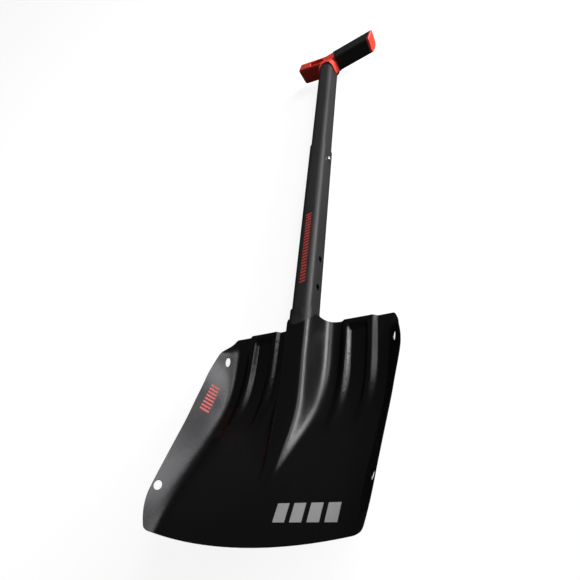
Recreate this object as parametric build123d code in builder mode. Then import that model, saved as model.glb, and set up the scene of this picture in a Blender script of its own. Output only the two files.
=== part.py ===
from build123d import *
from math import hypot
import os

# Avalanche shovel lying on its back: +Z up, +Y from the blade's tip towards the grip, +X to the right.
# The origin is the middle of the footprint, on the floor. Everything is in millimetres. Stations
# along the shaft are measured from the socket's mouth, which is the blade's top edge.

# ---- driving dimensions -------------------------------------------------------------------------
MOUTH_Y = -150.7
FLOOR_GAP = 5.3           # height of the blade's flat upper pan above the floor
SHEET_DROP = 2.0          # blade sheet, measured straight down
BLADE_REACH = 276.0       # mouth to tip
BLADE_TOP_HALF = 112.0
BLADE_HALF = 127.0
TUBE_WIDTH = 29.0         # lower tube, across
TUBE_DEPTH = 36.8         # lower tube, front to back
TUBE_CORNER = 9.0
TUBE_WALL = 1.2
SLIDE_GAP = 0.2           # upper tube inside the lower tube
SOCKET_GAP = 0.3          # lower tube inside the ferrule
FERRULE_WALL = 1.5
AXIS_Z = FLOOR_GAP + 16.5
LOWER_TUBE_ENDS = (-70.0, 319.5)
UPPER_TUBE_ENDS = (238.0, 546.0)
FERRULE_ENDS = (-60.0, 9.0)
EXTENDED_AT = 294.0       # lock button and its hole, extended
TRAVEL = 199.0
SPARE_HOLE_AT = 48.8
BLADE_LOCK_AT = -38.0
BUTTON_RADIUS = 4.0
LOCK_HOLE_RADIUS = 4.4
STRIP = 0.8               # spring strip
STRIP_WIDTH = 11.0
SPRING_LENGTH = 48.0
PLATE = 1.5               # socket back plate
HUB_AT = 549.0            # where the centrelines of the grip's two arms meet
ARM_RISE = 0.19           # each arm rises this much per mm away from the shaft
ARM_LEAN = 0.038          # and the whole grip is turned a little about the shaft
GRIP_WIDTH = 20.0         # red arm, along the shaft
GRIP_FRONT = 17.0         # front and back faces of the arms from the shaft's axis
GRIP_BACK = 16.0
LEFT_ARM = 55.0
SLEEVE_WIDTH = 23.0
SLEEVE_FRONT = 17.3
SLEEVE_BACK = 14.0
SLEEVE_SPAN = (17.8, 110.0)  # the right arm's rubber sleeve, before its end is cut at a slant
SEAM_AT = 80.2            # the cut's nearest point, on the sleeve's lower front edge
CAP_THICKNESS = 3.5
CORE_END = 70.0
CORE_INSET = 3.2
CHEEK_TIP_AT = 521.5
PIN_AT = 525.0
PIN_RADIUS = 2.5

# Even growth of each oval from the lower tube's outside.
BORE_GROW = -TUBE_WALL
UPPER_GROW = BORE_GROW - SLIDE_GAP
UPPER_BORE_GROW = UPPER_GROW - TUBE_WALL
FERRULE_GROW = SOCKET_GAP + FERRULE_WALL


def station(y):
    """Plane across the shaft at a station, facing the grip, with its own y upwards."""
    return Plane(origin=(0, MOUTH_Y + y, AXIS_Z), x_dir=(-1, 0, 0), z_dir=(0, 1, 0))


def oval(grow, flare=0.0, thin=0.0):
    """The shaft's oval: four crowned sides, rounded corners. flare widens it, thin takes off depth."""
    side = TUBE_WIDTH / 2 + grow + flare
    face = TUBE_DEPTH / 2 + grow - thin
    in_x, in_y = side - 1.6, face - 0.8
    with BuildSketch() as section:
        with BuildLine():
            ThreePointArc((-in_x, in_y), (0, face), (in_x, in_y))
            ThreePointArc((in_x, in_y), (side, 0), (in_x, -in_y))
            ThreePointArc((in_x, -in_y), (0, -face), (-in_x, -in_y))
            ThreePointArc((-in_x, -in_y), (-side, 0), (-in_x, in_y))
        make_face()
        fillet(section.vertices(), TUBE_CORNER + grow)
    return section.sketch


# ---- blade --------------------------------------------------------------------------------------
def ease(value, low, high):
    """0 below low, 1 above high, and a smooth S between."""
    s = min(max((value - low) / (high - low), 0.0), 1.0)
    return s * s * (3 - 2 * s)


def eased_run(value, low, high):
    """The running total of ease, so a slope of ease gives this height."""
    s = min(max((value - low) / (high - low), 0.0), 1.0)
    return (high - low) * (s**3 - s**4 / 2) + max(value - high, 0.0)


def band(x, low, high, wall):
    """1 between low and high, with sloping walls."""
    return ease(x, low - wall / 2, low + wall / 2) * (1 - ease(x, high - wall / 2, high + wall / 2))


def pan_height(t):
    """The middle of the pan, flat at the top, sweeping forward and easing off at the tip."""
    return 0.57 * eased_run(t, 30, 165) - 0.28 * eased_run(t, 195, 285)


def wing_height(x, t):
    """The side wings: a soft fold, then a nearly straight slope, steepest halfway down."""
    fold_x, bend = 101.0, 7.0
    slope = 1.25 * ease(t, -3, 30) + 0.72 * ease(t, 30, 115) - 0.75 * ease(t, 120, 290)
    return slope * (hypot(max(x - fold_x, 0.0), bend) - bend)


def bulge_height(x, t):
    """The socket's bulge down the middle, bell-shaped across, running out to a point."""
    height = 38.9 * (1 - ease(t, 50, 235))
    half_width = 21.3 * (1 - 0.64 * ease(t, 115, 220))
    return height / (1 + (x / half_width) ** 6.3)


def plateau_height(x, t):
    """A raised plateau each side, with a channel pressed back down its middle. Walls soften downwards."""
    fade = 1 - ease(t, 90, 180)
    plateau = 4.2 * band(x, 46, 88, 7 + 0.04 * t)
    channel = 5.2 * band(x, 54.5, 77.5, 4.5 + 0.05 * t) * ease(t, 7.5, 12)
    return fade * (plateau - channel)


def front_height(x, t):
    """The blade's front face over the floor, t from the mouth towards the tip."""
    x = abs(x)
    return FLOOR_GAP + pan_height(t) + wing_height(x, t) + bulge_height(x, t) + plateau_height(x, t)


def front_plane(x, t):
    """Plane on the blade's front face, square to the sheet."""
    slope_x = front_height(x + 0.5, t) - front_height(x - 0.5, t)
    slope_y = front_height(x, t - 0.5) - front_height(x, t + 0.5)
    point = (x, MOUTH_Y - t, front_height(x, t))
    return Plane(origin=point, x_dir=(0, 1, slope_y), z_dir=(-slope_x, -slope_y, 1))


GRID_MARGIN = 10.0
GRID_COLUMNS, GRID_ROWS = 151, 75
grid = []
for row in range(GRID_ROWS):
    t = (BLADE_REACH + 2 * GRID_MARGIN) * row / (GRID_ROWS - 1) - GRID_MARGIN
    points = []
    for column in range(GRID_COLUMNS):
        x = (BLADE_HALF + GRID_MARGIN) * (2 * column / (GRID_COLUMNS - 1) - 1)
        points.append(Vector(x, MOUTH_Y - t, front_height(x, t)))
    grid.append(points)
pressed_face = Face.make_surface_from_array_of_points(grid, tol=0.03, min_deg=3, max_deg=3)
pressed_sheet = extrude(pressed_face, amount=SHEET_DROP, dir=(0, 0, -1), mode=Mode.PRIVATE)

# Lashing holes: across, down from the mouth, and the half-sizes along and across the wing.
LASHING_HOLES = [(114.0, 38.0, 6.8, 3.1), (118.0, 216.5, 5.9, 4.2)]

with BuildPart() as blade:
    with BuildSketch(Plane((0, MOUTH_Y, -10))) as outline:
        with BuildLine():
            top = Line((0, 0), (BLADE_TOP_HALF, 0))
            shoulder = ThreePointArc(top @ 1, (122.5, -29), (BLADE_HALF, -66))
            flank = Line(shoulder @ 1, (121.6, -224))
            ThreePointArc(flank @ 1, (119, -243), (113.2, -262.4))
            ThreePointArc((113.2, -262.4), (57, -272.6), (0, -BLADE_REACH))
            mirror(about=Plane.YZ)
        make_face()
        fillet(outline.vertices().sort_by(Axis.Y)[1:3], 7)
        fillet(outline.vertices().sort_by(Axis.Y)[-2:], 4)
    extrude(amount=150)
    add(pressed_sheet, mode=Mode.INTERSECT)
    # The bulge's top edge is scooped back over the ferrule.
    with BuildSketch(Plane((0, MOUTH_Y, FLOOR_GAP + 26))):
        Ellipse(18.5, 17)
    extrude(amount=30, mode=Mode.SUBTRACT)
    for hole_x, hole_t, half_long, half_wide in LASHING_HOLES:
        for side in (-1, 1):
            with BuildSketch(front_plane(side * hole_x, hole_t)):
                Ellipse(half_long, half_wide)
            extrude(amount=8, both=True, mode=Mode.SUBTRACT)

# ---- socket: ferrule, back plate and weld beads ---------------------------------------------------
with BuildPart() as socket_ferrule:
    with BuildSketch(station(FERRULE_ENDS[0])):
        add(oval(FERRULE_GROW))
    extrude(amount=FERRULE_ENDS[1] - FERRULE_ENDS[0])
    # Lead-in rib on the front, highest at the rim.
    rib_foot = AXIS_Z + TUBE_DEPTH / 2 + FERRULE_GROW - 0.9
    with BuildSketch(Plane.YZ) as rib:
        with BuildLine():
            Polyline(
                (MOUTH_Y + FERRULE_ENDS[1], rib_foot),
                (MOUTH_Y + FERRULE_ENDS[1], rib_foot + 2.6),
                (MOUTH_Y + FERRULE_ENDS[1] - 21, rib_foot),
                close=True,
            )
        make_face()
    extrude(amount=4.5, both=True)
    with BuildSketch(station(FERRULE_ENDS[0])):
        add(oval(SOCKET_GAP))
    extrude(amount=FERRULE_ENDS[1] - FERRULE_ENDS[0], mode=Mode.SUBTRACT)
    with BuildSketch(Plane((0, MOUTH_Y + BLADE_LOCK_AT, 0))):
        Circle(LOCK_HOLE_RADIUS)
    extrude(amount=AXIS_Z, mode=Mode.SUBTRACT)

PLATE_ENDS = (-64.0, -4.0)
PLATE_HALF = 43.0
PLATE_TOP = FLOOR_GAP - SHEET_DROP
PLATE_STEP = (19.0, 24.0)  # the middle is set back under the ferrule between these

with BuildPart() as socket_back_plate:
    with BuildSketch(Plane((0, MOUTH_Y + PLATE_ENDS[0], 0), x_dir=(-1, 0, 0), z_dir=(0, 1, 0))):
        with BuildLine():
            Polyline(
                (0, 0),
                (PLATE_STEP[0], 0),
                (PLATE_STEP[1], PLATE_TOP - PLATE),
                (PLATE_HALF, PLATE_TOP - PLATE),
                (PLATE_HALF, PLATE_TOP),
                (PLATE_STEP[1] - 0.5, PLATE_TOP),
                (PLATE_STEP[0] - 0.5, PLATE),
                (0, PLATE),
            )
            mirror(about=Plane.YZ)
        make_face()
    extrude(amount=PLATE_ENDS[1] - PLATE_ENDS[0])
    fillet(socket_back_plate.edges().filter_by(Axis.Z), 5)
    with Locations(Plane((0, MOUTH_Y + BLADE_LOCK_AT, PLATE))):
        Hole(7)

BEAD = 1.9

with BuildPart() as socket_weld_beads:
    for side in (-1, 1):
        seam = Plane((side * 22.2, MOUTH_Y + 0.4, FLOOR_GAP + 5.5), z_dir=(-side * 4.4, 0, 19))
        with BuildSketch(seam):
            Circle(BEAD)
        extrude(amount=19)
    fillet(socket_weld_beads.edges(), 1.2)

with BuildPart() as plate_weld_beads:
    for side in (-1, 1):
        for start in (-56.0, -24.0):
            with BuildSketch(station(start)):
                with Locations((side * (PLATE_HALF + 0.9), PLATE_TOP - 0.9 - AXIS_Z)):
                    Circle(0.9)
            extrude(amount=14)

# ---- lower tube and the button that holds it in the socket ---------------------------------------
with BuildPart() as lower_tube:
    with BuildSketch(station(LOWER_TUBE_ENDS[0])):
        add(oval(0))
        add(oval(BORE_GROW), mode=Mode.SUBTRACT)
    extrude(amount=LOWER_TUBE_ENDS[1] - LOWER_TUBE_ENDS[0])
    for hole_at in (EXTENDED_AT, EXTENDED_AT - TRAVEL, SPARE_HOLE_AT):
        with BuildSketch(Plane((0, MOUTH_Y + hole_at, AXIS_Z), z_dir=(1, 0, 0))):
            Circle(LOCK_HOLE_RADIUS)
        extrude(amount=TUBE_WIDTH, mode=Mode.SUBTRACT)
    with BuildSketch(Plane((0, MOUTH_Y + BLADE_LOCK_AT, 0))):
        Circle(LOCK_HOLE_RADIUS)
    extrude(amount=AXIS_Z, mode=Mode.SUBTRACT)


def lock_button(seat, direction, at, height):
    """A domed button on a wider foot. seat is how far its foot's underside is from the shaft's axis."""
    base = Plane((0, MOUTH_Y + at, AXIS_Z), z_dir=direction).offset(seat)
    with BuildPart() as button:
        with BuildSketch(base):
            Circle(BUTTON_RADIUS + 1.2)
        extrude(amount=STRIP)
        with BuildSketch(base):
            Circle(BUTTON_RADIUS)
        extrude(amount=height)
        fillet(button.faces().sort_by(Axis(base.origin, base.z_dir))[-1].edges(), 1.6)
    return button.part


def lock_spring(spread, direction, across, at):
    """A bent strip, both ends resting on the tube's walls, spread from the axis, its bend up-shaft."""
    bed = Plane((0, MOUTH_Y + at, AXIS_Z), x_dir=(0, 1, 0), z_dir=across).offset(-STRIP_WIDTH / 2)
    lean = spread - STRIP
    with BuildPart() as spring:
        with BuildSketch(bed):
            with BuildLine():
                Polyline((-7, spread), (8, spread), (SPRING_LENGTH, 3.4))
                ThreePointArc((SPRING_LENGTH, 3.4), (SPRING_LENGTH + 3, 0), (SPRING_LENGTH, -3.4))
                Polyline((SPRING_LENGTH, -3.4), (8, -spread), (-7, -spread), (-7, -lean), (8, -lean))
                Line((8, -lean), (SPRING_LENGTH - 0.6, -2.6))
                inner_bend = (SPRING_LENGTH + 3 - STRIP, 0)
                ThreePointArc((SPRING_LENGTH - 0.6, -2.6), inner_bend, (SPRING_LENGTH - 0.6, 2.6))
                Polyline((SPRING_LENGTH - 0.6, 2.6), (8, lean), (-7, lean), (-7, spread))
            make_face()
        extrude(amount=STRIP_WIDTH)
    return spring.part


BLADE_SPRING_REACH = TUBE_DEPTH / 2 + BORE_GROW - STRIP - 0.7
blade_lock_button = lock_button(BLADE_SPRING_REACH + 0.3, (0, 0, -1), BLADE_LOCK_AT, 5.3)
blade_lock_spring = lock_spring(BLADE_SPRING_REACH, (0, 0, -1), (1, 0, 0), BLADE_LOCK_AT)

# ---- upper tube and what it carries ---------------------------------------------------------------
with BuildPart() as upper_tube:
    with BuildSketch(station(UPPER_TUBE_ENDS[0])):
        add(oval(UPPER_GROW))
        add(oval(UPPER_BORE_GROW), mode=Mode.SUBTRACT)
    extrude(amount=UPPER_TUBE_ENDS[1] - UPPER_TUBE_ENDS[0])
    with BuildSketch(Plane((0, MOUTH_Y + EXTENDED_AT, AXIS_Z), z_dir=(1, 0, 0))):
        Circle(LOCK_HOLE_RADIUS)
    extrude(amount=TUBE_WIDTH, mode=Mode.SUBTRACT)
    with BuildSketch(Plane((0, MOUTH_Y + PIN_AT, AXIS_Z))):
        Circle(PIN_RADIUS)
    extrude(amount=TUBE_DEPTH, both=True, mode=Mode.SUBTRACT)

UPPER_SPRING_REACH = TUBE_WIDTH / 2 + UPPER_BORE_GROW - STRIP - 0.7
extension_lock_button = lock_button(UPPER_SPRING_REACH + 0.3, (1, 0, 0), EXTENDED_AT, 6.6)
extension_lock_spring = lock_spring(UPPER_SPRING_REACH, (1, 0, 0), (0, 0, -1), EXTENDED_AT)

FOOT_LENGTH = 6.0

with BuildPart() as slide_bushing:
    foot = UPPER_TUBE_ENDS[0] - FOOT_LENGTH
    with BuildSketch(station(foot)):
        add(oval(UPPER_GROW + 0.05))
    extrude(amount=FOOT_LENGTH)
    with BuildSketch(station(UPPER_TUBE_ENDS[0])):
        add(oval(UPPER_BORE_GROW - 0.05))
    extrude(amount=14)
    with BuildSketch(station(foot)):
        add(oval(UPPER_BORE_GROW - 2.2))
    extrude(amount=FOOT_LENGTH + 14, mode=Mode.SUBTRACT)
    fillet(slide_bushing.faces().sort_by(Axis.Y)[0].outer_wire().edges(), 1.0)

# ---- grip ---------------------------------------------------------------------------------------
hub = (0, MOUTH_Y + HUB_AT, AXIS_Z)
left_arm = Plane(hub, x_dir=(-ARM_RISE, -1, 0), z_dir=(-1, ARM_RISE, -ARM_LEAN))
right_arm = Plane(hub, x_dir=(-ARM_RISE, 1, 0), z_dir=(1, ARM_RISE, ARM_LEAN))


def arm_section(width, front, back):
    """Across an arm: crisp edges on the front, round ones on the back."""
    with BuildSketch() as section:
        with Locations((0, (front - back) / 2)):
            Rectangle(width, front + back)
        fillet(section.vertices().group_by(Axis.Y)[-1], 3.2)
        fillet(section.vertices().group_by(Axis.Y)[0], 8)
    return section.sketch


slim_core = arm_section(SLEEVE_WIDTH - 2 * CORE_INSET, SLEEVE_FRONT - CORE_INSET, SLEEVE_BACK - CORE_INSET)

with BuildPart() as grip_core:
    with BuildSketch(left_arm.offset(-4)):
        add(arm_section(GRIP_WIDTH, GRIP_FRONT, GRIP_BACK))
    extrude(amount=LEFT_ARM + 4)
    fillet(grip_core.faces().sort_by(Axis.X)[0].edges(), 3)
    with BuildSketch(right_arm.offset(-4)):
        add(arm_section(GRIP_WIDTH, GRIP_FRONT, GRIP_BACK))
    extrude(amount=SLEEVE_SPAN[0] + 4)
    # Cheeks that clasp the upper tube from both sides and flare into the arms.
    with BuildSketch(station(CHEEK_TIP_AT)):
        add(oval(UPPER_GROW + 2.4))
    with BuildSketch(station(CHEEK_TIP_AT + 14)):
        add(oval(UPPER_GROW + 2.6, flare=0.6, thin=1.0))
    with BuildSketch(station(HUB_AT - 3)):
        add(oval(UPPER_GROW + 2.6, flare=3.6, thin=2.6))
    loft()
    # Seen from the side each cheek ends in a rounded tongue.
    with BuildSketch(Plane((0, MOUTH_Y + CHEEK_TIP_AT, AXIS_Z), x_dir=(0, 1, 0), z_dir=(1, 0, 0))):
        with BuildLine():
            ThreePointArc((0, -1), (1.6, 8), (9, 17))
            Polyline((9, 17), (9, 25), (-9, 25), (-9, -25), (19, -25), (19, -11), (0, -1))
        make_face()
    extrude(amount=2 * TUBE_WIDTH, both=True, mode=Mode.SUBTRACT)
    for facing in (1, -1):
        with BuildSketch(Plane((0, MOUTH_Y + CHEEK_TIP_AT, AXIS_Z + facing * 10.5))):
            Ellipse(13.0, 15.5)
        extrude(amount=facing * TUBE_DEPTH, mode=Mode.SUBTRACT)
    with BuildSketch(station(CHEEK_TIP_AT - 1)):
        add(oval(UPPER_GROW))
    extrude(amount=UPPER_TUBE_ENDS[1] - CHEEK_TIP_AT + 1, mode=Mode.SUBTRACT)
    # Right arm: the flare is cut back square to the sleeve, and a slimmer core goes on inside it.
    with BuildSketch(right_arm.offset(SLEEVE_SPAN[0])):
        Rectangle(3 * SLEEVE_WIDTH, 3 * SLEEVE_WIDTH)
    extrude(amount=SLEEVE_WIDTH, mode=Mode.SUBTRACT)
    with BuildSketch(right_arm.offset(SLEEVE_SPAN[0])):
        add(slim_core)
    extrude(amount=CORE_END - SLEEVE_SPAN[0])
    # Tongue inside the upper tube, which the cross pin goes through.
    with BuildSketch(station(PIN_AT - 14)):
        add(oval(UPPER_BORE_GROW - 0.05))
    extrude(amount=UPPER_TUBE_ENDS[1] - PIN_AT + 15)
    with BuildSketch(Plane((0, MOUTH_Y + PIN_AT, AXIS_Z))):
        Circle(PIN_RADIUS)
    extrude(amount=TUBE_DEPTH, both=True, mode=Mode.SUBTRACT)
    # Recess in the left arm's front.
    recess = Plane(
        left_arm.from_local_coords((0.5, GRIP_FRONT, 17)), x_dir=left_arm.z_dir, z_dir=left_arm.y_dir
    )
    with BuildSketch(recess):
        RectangleRounded(29, 10.5, 2)
    extrude(amount=-4, mode=Mode.SUBTRACT)

# The bar's outer end is cut at a slant, and a cap of even thickness covers the cut.
seam = Plane(
    right_arm.from_local_coords((-SLEEVE_WIDTH / 2, SLEEVE_FRONT, SEAM_AT)),
    z_dir=right_arm.z_dir - right_arm.x_dir * 0.5 - right_arm.y_dir * 0.12,
)

with BuildPart() as right_bar:
    with BuildSketch(right_arm.offset(SLEEVE_SPAN[0])):
        add(arm_section(SLEEVE_WIDTH, SLEEVE_FRONT, SLEEVE_BACK))
    extrude(amount=SLEEVE_SPAN[1] - SLEEVE_SPAN[0])
    split(bisect_by=seam.offset(CAP_THICKNESS), keep=Keep.BOTTOM)
    fillet(right_bar.faces().sort_by(Axis(seam.origin, seam.z_dir))[-1].edges(), 2)

with BuildPart() as grip_sleeve:
    add(right_bar.part)
    split(bisect_by=seam, keep=Keep.BOTTOM)
    with BuildSketch(right_arm.offset(SLEEVE_SPAN[0])):
        add(slim_core)
    extrude(amount=CORE_END - SLEEVE_SPAN[0], mode=Mode.SUBTRACT)

with BuildPart() as sleeve_end_cap:
    add(right_bar.part)
    split(bisect_by=seam, keep=Keep.TOP)

with BuildPart() as grip_pin:
    pin_reach = TUBE_DEPTH / 2 + UPPER_GROW + 0.3
    with BuildSketch(Plane((0, MOUTH_Y + PIN_AT, AXIS_Z - pin_reach))):
        Circle(PIN_RADIUS)
    extrude(amount=2 * pin_reach)
    fillet(grip_pin.edges().filter_by(GeomType.CIRCLE), 0.4)

# ---- one file per piece --------------------------------------------------------------------------
os.makedirs("parts", exist_ok=True)
pieces = {
    "blade": blade.part,
    "socket_ferrule": socket_ferrule.part,
    "socket_back_plate": socket_back_plate.part,
    "socket_weld_beads": socket_weld_beads.part,
    "plate_weld_beads": plate_weld_beads.part,
    "lower_tube": lower_tube.part,
    "blade_lock_button": blade_lock_button,
    "blade_lock_spring": blade_lock_spring,
    "upper_tube": upper_tube.part,
    "extension_lock_button": extension_lock_button,
    "extension_lock_spring": extension_lock_spring,
    "slide_bushing": slide_bushing.part,
    "grip_core": grip_core.part,
    "grip_sleeve": grip_sleeve.part,
    "sleeve_end_cap": sleeve_end_cap.part,
    "grip_pin": grip_pin.part,
}
for name, piece in pieces.items():
    piece.label = name
    export_step(piece, f"parts/{name}.step")
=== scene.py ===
import math

import bmesh
import bpy
from mathutils import Matrix, Vector


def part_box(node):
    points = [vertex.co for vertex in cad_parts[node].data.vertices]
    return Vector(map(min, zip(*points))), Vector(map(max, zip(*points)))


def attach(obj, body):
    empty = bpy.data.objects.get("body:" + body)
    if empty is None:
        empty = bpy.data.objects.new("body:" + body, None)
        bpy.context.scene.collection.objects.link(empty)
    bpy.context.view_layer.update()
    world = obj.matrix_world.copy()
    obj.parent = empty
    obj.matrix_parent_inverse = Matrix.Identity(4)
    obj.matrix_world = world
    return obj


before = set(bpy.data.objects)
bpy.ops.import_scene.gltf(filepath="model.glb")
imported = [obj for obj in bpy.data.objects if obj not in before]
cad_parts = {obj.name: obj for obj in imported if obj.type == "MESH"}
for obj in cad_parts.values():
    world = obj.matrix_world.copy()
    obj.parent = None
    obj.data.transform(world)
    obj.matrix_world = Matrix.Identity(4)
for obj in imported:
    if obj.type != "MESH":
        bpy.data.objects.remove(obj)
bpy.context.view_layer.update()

# The socket's mouth, where the shaft enters the blade, in metres. Stations run from it to the grip.
FERRULE_STANDS_OUT = 0.009
MOUTH_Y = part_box("socket_ferrule")[1][1] - FERRULE_STANDS_OUT
PAN_Z = 0.0053


# ---- shared surface effects ----------------------------------------------------------------------
def new_group(name, inputs, outputs):
    """An empty shader group with named float or colour sockets."""
    group = bpy.data.node_groups.new(name, "ShaderNodeTree")
    for socket, kind, value in inputs:
        made = group.interface.new_socket(socket, in_out="INPUT", socket_type=kind)
        made.default_value = value
    for socket, kind in outputs:
        group.interface.new_socket(socket, in_out="OUTPUT", socket_type=kind)
    nodes = group.nodes
    return group, nodes.new("NodeGroupInput"), nodes.new("NodeGroupOutput")


def noise(tree, detail):
    """Noise in the object's own coordinates, at a scale to be linked."""
    coords = tree.nodes.new("ShaderNodeTexCoord")
    texture = tree.nodes.new("ShaderNodeTexNoise")
    texture.inputs["Detail"].default_value = detail
    texture.inputs["Roughness"].default_value = 0.5
    tree.links.new(coords.outputs["Object"], texture.inputs["Vector"])
    return texture.outputs["Fac"]


def remap(tree, value, low, high, to_low, to_high):
    """The value moved from one range to another."""
    node = tree.nodes.new("ShaderNodeMapRange")
    for socket, number in zip(node.inputs[1:5], (low, high, to_low, to_high)):
        socket.default_value = number
    tree.links.new(value, node.inputs["Value"])
    return node.outputs["Result"]


def fine_grain_group():
    """Moulded or powder-coated grain: a fine height and a slow drift in gloss."""
    group, given, result = new_group(
        "fine grain",
        [("Grain Scale", "NodeSocketFloat", 1800.0), ("Drift Scale", "NodeSocketFloat", 14.0)],
        [("Height", "NodeSocketFloat"), ("Drift", "NodeSocketFloat")],
    )
    grain = noise(group, detail=2.0)
    drift = noise(group, detail=4.0)
    group.links.new(given.outputs["Grain Scale"], grain.node.inputs["Scale"])
    group.links.new(given.outputs["Drift Scale"], drift.node.inputs["Scale"])
    group.links.new(grain, result.inputs["Height"])
    group.links.new(remap(group, drift, 0.3, 0.7, 0.0, 1.0), result.inputs["Drift"])
    return group


FINE_GRAIN = fine_grain_group()


def finish(name, color, metallic, roughness, grain_scale, grain_height, drift=0.06, gloss=0.5):
    """A finish with fine grain. roughness is a pair, and drift is how far the colour wanders."""
    material = bpy.data.materials.new(name)
    material.use_nodes = True
    tree = material.node_tree
    shader = tree.nodes["Principled BSDF"]
    shader.inputs["Metallic"].default_value = metallic
    shader.inputs["Specular IOR Level"].default_value = gloss
    grain = tree.nodes.new("ShaderNodeGroup")
    grain.node_tree = FINE_GRAIN
    grain.inputs["Grain Scale"].default_value = grain_scale
    mix = tree.nodes.new("ShaderNodeMix")
    mix.data_type = "RGBA"
    mix.inputs[6].default_value = (*[c * (1 - drift) for c in color], 1)
    mix.inputs[7].default_value = (*[c * (1 + drift) for c in color], 1)
    tree.links.new(grain.outputs["Drift"], mix.inputs[0])
    tree.links.new(mix.outputs[2], shader.inputs["Base Color"])
    rough = remap(tree, grain.outputs["Drift"], 0.0, 1.0, *roughness)
    tree.links.new(rough, shader.inputs["Roughness"])
    bump = tree.nodes.new("ShaderNodeBump")
    bump.inputs["Strength"].default_value = 1.0
    bump.inputs["Distance"].default_value = grain_height
    tree.links.new(grain.outputs["Height"], bump.inputs["Height"])
    tree.links.new(bump.outputs["Normal"], shader.inputs["Normal"])
    return material


blade_coat = finish(
    "black blade coat", (0.0050, 0.0050, 0.0053), 0.0, (0.25, 0.31), 2600, 0.00002, gloss=0.25
)
tube_finish = finish(
    "black anodised tube", (0.030, 0.030, 0.031), 0.0, (0.42, 0.50), 3000, 0.00001, gloss=0.3
)
weld_coat = finish("coated weld", (0.006, 0.006, 0.006), 0.0, (0.35, 0.45), 700, 0.0006, gloss=0.3)
bright_steel = finish("bright steel", (0.85, 0.86, 0.88), 1.0, (0.34, 0.44), 900, 0.00001)
spring_steel = finish("spring steel", (0.42, 0.42, 0.44), 1.0, (0.28, 0.40), 900, 0.00001)
red_plastic = finish("red grip plastic", (0.78, 0.060, 0.035), 0.0, (0.40, 0.48), 1500, 0.00005)
grip_rubber = finish(
    "black grip rubber", (0.012, 0.012, 0.012), 0.0, (0.46, 0.56), 1300, 0.00008, gloss=0.35
)
black_plastic = finish("black bushing plastic", (0.02, 0.02, 0.02), 0.0, (0.4, 0.5), 1500, 0.00005)
grey_print = finish("grey print", (0.50, 0.50, 0.50), 0.0, (0.45, 0.55), 2600, 0.00002)
red_print = finish("red print", (0.62, 0.06, 0.045), 0.0, (0.45, 0.55), 2600, 0.00002)

FINISHES = {
    "blade": blade_coat,
    "socket_back_plate": blade_coat,
    "socket_ferrule": tube_finish,
    "socket_weld_beads": weld_coat,
    "plate_weld_beads": weld_coat,
    "lower_tube": tube_finish,
    "upper_tube": tube_finish,
    "grip_pin": tube_finish,
    "blade_lock_button": bright_steel,
    "extension_lock_button": bright_steel,
    "blade_lock_spring": spring_steel,
    "extension_lock_spring": spring_steel,
    "slide_bushing": black_plastic,
    "grip_core": red_plastic,
    "sleeve_end_cap": red_plastic,
    "grip_sleeve": grip_rubber,
}
for node, material in FINISHES.items():
    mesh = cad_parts[node].data
    mesh.materials.clear()
    mesh.materials.append(material)

# ---- printed marks -------------------------------------------------------------------------------
# The pressing's own sizes in millimetres, the same as the blade's.
WING_FOLD_AT = 101.0
WING_FOLD_ROUND = 7.0
BULGE_HEIGHT = 38.9
BULGE_HALF_WIDTH = 21.3
BULGE_SQUARENESS = 6.3
TUBE_FACE_HALF = 12.9
TUBE_CROWN = 0.0008
INK_OVER_BLADE = 0.00012
INK_OVER_TUBE = 0.0001
SLOPE_STEP = 0.5


def ease(value, low, high):
    """A smooth step from 0 at low to 1 at high."""
    s = min(max((value - low) / (high - low), 0.0), 1.0)
    return s * s * (3 - 2 * s)


def eased_run(value, low, high):
    """The rise of a line whose slope eases in from 0 at low to 1 at high."""
    s = min(max((value - low) / (high - low), 0.0), 1.0)
    return (high - low) * (s**3 - s**4 / 2) + max(value - high, 0.0)


def blade_front(x, t):
    """Point on the blade's front in metres, clear of the plateaus.

    x is across and t is down from the mouth, both in millimetres.
    """
    pan = 0.57 * eased_run(t, 30, 165) - 0.28 * eased_run(t, 195, 285)
    slope = 1.25 * ease(t, -3, 30) + 0.72 * ease(t, 30, 115) - 0.75 * ease(t, 120, 290)
    past_fold = max(abs(x) - WING_FOLD_AT, 0.0)
    wing = slope * (math.hypot(past_fold, WING_FOLD_ROUND) - WING_FOLD_ROUND)
    half_width = BULGE_HALF_WIDTH * (1 - 0.64 * ease(t, 115, 220))
    bulge = BULGE_HEIGHT * (1 - ease(t, 50, 235)) / (1 + (abs(x) / half_width) ** BULGE_SQUARENESS)
    return Vector((x / 1000, MOUTH_Y - t / 1000, PAN_Z + (pan + wing + bulge) / 1000))


def on_blade(x, t):
    """As blade_front, lifted off the face by the ink's stand-off."""
    here = blade_front(x, t)
    across = blade_front(x + SLOPE_STEP, t) - blade_front(x - SLOPE_STEP, t)
    along = blade_front(x, t - SLOPE_STEP) - blade_front(x, t + SLOPE_STEP)
    return here + across.cross(along).normalized() * INK_OVER_BLADE


TUBE_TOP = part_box("lower_tube")[1][2]


def on_tube(x, y):
    """Point on the lower tube's crowned front, y up the shaft from the mouth, in millimetres."""
    height = TUBE_TOP - TUBE_CROWN * (x / TUBE_FACE_HALF) ** 2 + INK_OVER_TUBE
    return Vector((x / 1000, MOUTH_Y + y / 1000, height))


def between(corners, u, v):
    """Point inside a quad, u along its first side and v across to its far side."""
    a, b, c, d = corners
    return [
        (a[k] * (1 - u) + b[k] * u) * (1 - v) + (d[k] * (1 - u) + c[k] * u) * v
        for k in range(2)
    ]


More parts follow.
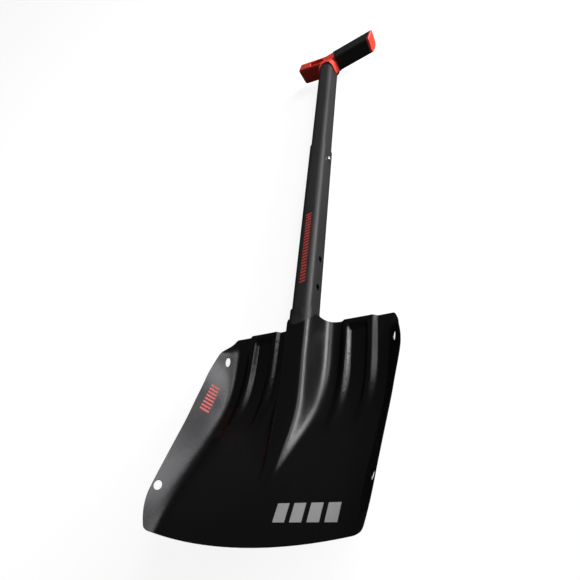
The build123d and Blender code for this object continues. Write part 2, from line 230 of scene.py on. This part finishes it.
def printed(name, quads, place, material, body, steps=8):
    """Ink in the shape of flat quads laid over a surface by place."""
    mesh = bpy.data.meshes.new(name)
    sheet = bmesh.new()
    for corners in quads:
        rows = [
            [
                sheet.verts.new(place(*between(corners, i / steps, j / steps)))
                for j in range(steps + 1)
            ]
            for i in range(steps + 1)
        ]
        for low, high in zip(rows, rows[1:]):
            for k in range(steps):
                sheet.faces.new((low[k], high[k], high[k + 1], low[k + 1]))
    sheet.normal_update()
    if sum(face.normal.z for face in sheet.faces) <= 0:
        bmesh.ops.reverse_faces(sheet, faces=sheet.faces)
    for face in sheet.faces:
        face.smooth = True
    sheet.to_mesh(mesh)
    sheet.free()
    mesh.materials.append(material)
    piece = bpy.data.objects.new(name, mesh)
    bpy.context.collection.objects.link(piece)
    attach(piece, body)
    return piece


def slanted_ticks(start, end, count, low, high, lean):
    """A row of slanted ticks along the second coordinate, between low and high across."""
    pitch = (end - start) / count
    thickness = 0.55 * pitch
    ticks = []
    for k in range(count):
        foot = start + k * pitch
        head = foot + lean
        ticks.append(((low, foot), (high, head), (high, head + thickness), (low, foot + thickness)))
    return ticks


# Four plain blocks near the tip, a row of ticks on the left wing and a longer one up the tube.
BLOCK_WIDTH = 12
BLOCK_ROWS = (236, 254)
blocks = [
    (
        (left, BLOCK_ROWS[0]),
        (left + BLOCK_WIDTH, BLOCK_ROWS[0]),
        (left + BLOCK_WIDTH, BLOCK_ROWS[1]),
        (left, BLOCK_ROWS[1]),
    )
    for left in (24, 41, 58, 75)
]
wing_row = slanted_ticks(76, 116, 8, -121, -114.5, 3)
tube_row = slanted_ticks(47, 169, 24, -3.6, 4.4, 2)
printed("tip_blocks", blocks, on_blade, grey_print, "blade_unit")
wing_marks = printed("wing_ticks", wing_row, on_blade, red_print, "blade_unit")
tube_marks = printed("tube_ticks", tube_row, on_tube, red_print, "lower_shaft", steps=3)

# ---- stage, light and camera -----------------------------------------------------------------------
bpy.context.scene.view_settings.view_transform = "Standard"

FLOOR_SIZE = 14
FLOOR_DROP = 0.0005
bpy.ops.mesh.primitive_plane_add(size=FLOOR_SIZE, location=(0, 0, -FLOOR_DROP))
floor = bpy.context.object
floor.name = "floor"
paper = bpy.data.materials.new("pale paper")
paper.use_nodes = True
tree = paper.node_tree
shader = tree.nodes["Principled BSDF"]
shader.inputs["Roughness"].default_value = 0.9
shader.inputs["Specular IOR Level"].default_value = 0.0
shader.inputs["Emission Color"].default_value = (1, 1, 1, 1)
# Seen directly the paper is bright, and to every other ray it is dim, so that it doesn't fill the
# black faces with light.
seen = tree.nodes.new("ShaderNodeLightPath")
shade = tree.nodes.new("ShaderNodeMix")
shade.data_type = "RGBA"
shade.inputs[6].default_value = (0.10, 0.10, 0.10, 1)
shade.inputs[7].default_value = (0.35, 0.35, 0.35, 1)
glow = tree.nodes.new("ShaderNodeMath")
glow.operation = "MULTIPLY"
glow.inputs[1].default_value = 0.88
tree.links.new(seen.outputs["Is Camera Ray"], shade.inputs[0])
tree.links.new(shade.outputs[2], shader.inputs["Base Color"])
tree.links.new(seen.outputs["Is Camera Ray"], glow.inputs[0])
tree.links.new(glow.outputs[0], shader.inputs["Emission Strength"])
floor.data.materials.append(paper)

world = bpy.data.worlds.new("studio")
bpy.context.scene.world = world
world.use_nodes = True
tree = world.node_tree
sky = tree.nodes["Background"]
sky.inputs["Strength"].default_value = 1.0
seen = tree.nodes.new("ShaderNodeLightPath")
shade = tree.nodes.new("ShaderNodeMix")
shade.data_type = "RGBA"
shade.inputs[6].default_value = (0.10, 0.10, 0.10, 1)
shade.inputs[7].default_value = (1, 1, 1, 1)
tree.links.new(seen.outputs["Is Camera Ray"], shade.inputs[0])
tree.links.new(shade.outputs[2], sky.inputs["Color"])


def panel(name, location, target, width, height, power, color=(1, 1, 1)):
    """A soft rectangular light at one place, turned towards another."""
    light = bpy.data.lights.new(name, "AREA")
    light.shape = "RECTANGLE"
    light.size, light.size_y = width, height
    light.energy = power
    light.color = color
    holder = bpy.data.objects.new(name, light)
    bpy.context.collection.objects.link(holder)
    holder.location = location
    holder.rotation_euler = (Vector(target) - Vector(location)).to_track_quat("-Z", "Y").to_euler()
    return holder


# A long low softbox to the right gives the wing and the right-hand faces their light, and a
# smaller one higher up the shaft gives the pressed walls their soft edge lines. A narrow one lights
# the end of the grip.
panel("low softbox", (2.4, 1.75, 0.85), (0, 0, 0), 1.5, 1.0, 50, (0.98, 0.95, 1.0))
panel("high softbox", (1.9, 1.7, 2.3), (0, -0.1, 0), 1.2, 1.2, 32)
grip_light = panel("grip light", (1.6, 0.75, 0.4), (0.05, 0.43, 0.05), 0.6, 0.5, 3.6)
grip_light.data.spread = math.radians(55)

camera_data = bpy.data.cameras.new("camera")
camera_data.sensor_width = 36
camera_data.lens = 33.11
camera = bpy.data.objects.new("camera", camera_data)
bpy.context.collection.objects.link(camera)
right = Vector((0.88099, 0.09672, -0.46314))
up = Vector((0.19256, 0.82085, 0.53771))
back = right.cross(up)
place = Vector((0.28247, -0.34960 + MOUTH_Y, 0.52189 + PAN_Z))
camera.matrix_world = Matrix(
    [[right[i], up[i], back[i], place[i]] for i in range(3)] + [[0, 0, 0, 1]]
)
bpy.context.scene.camera = camera
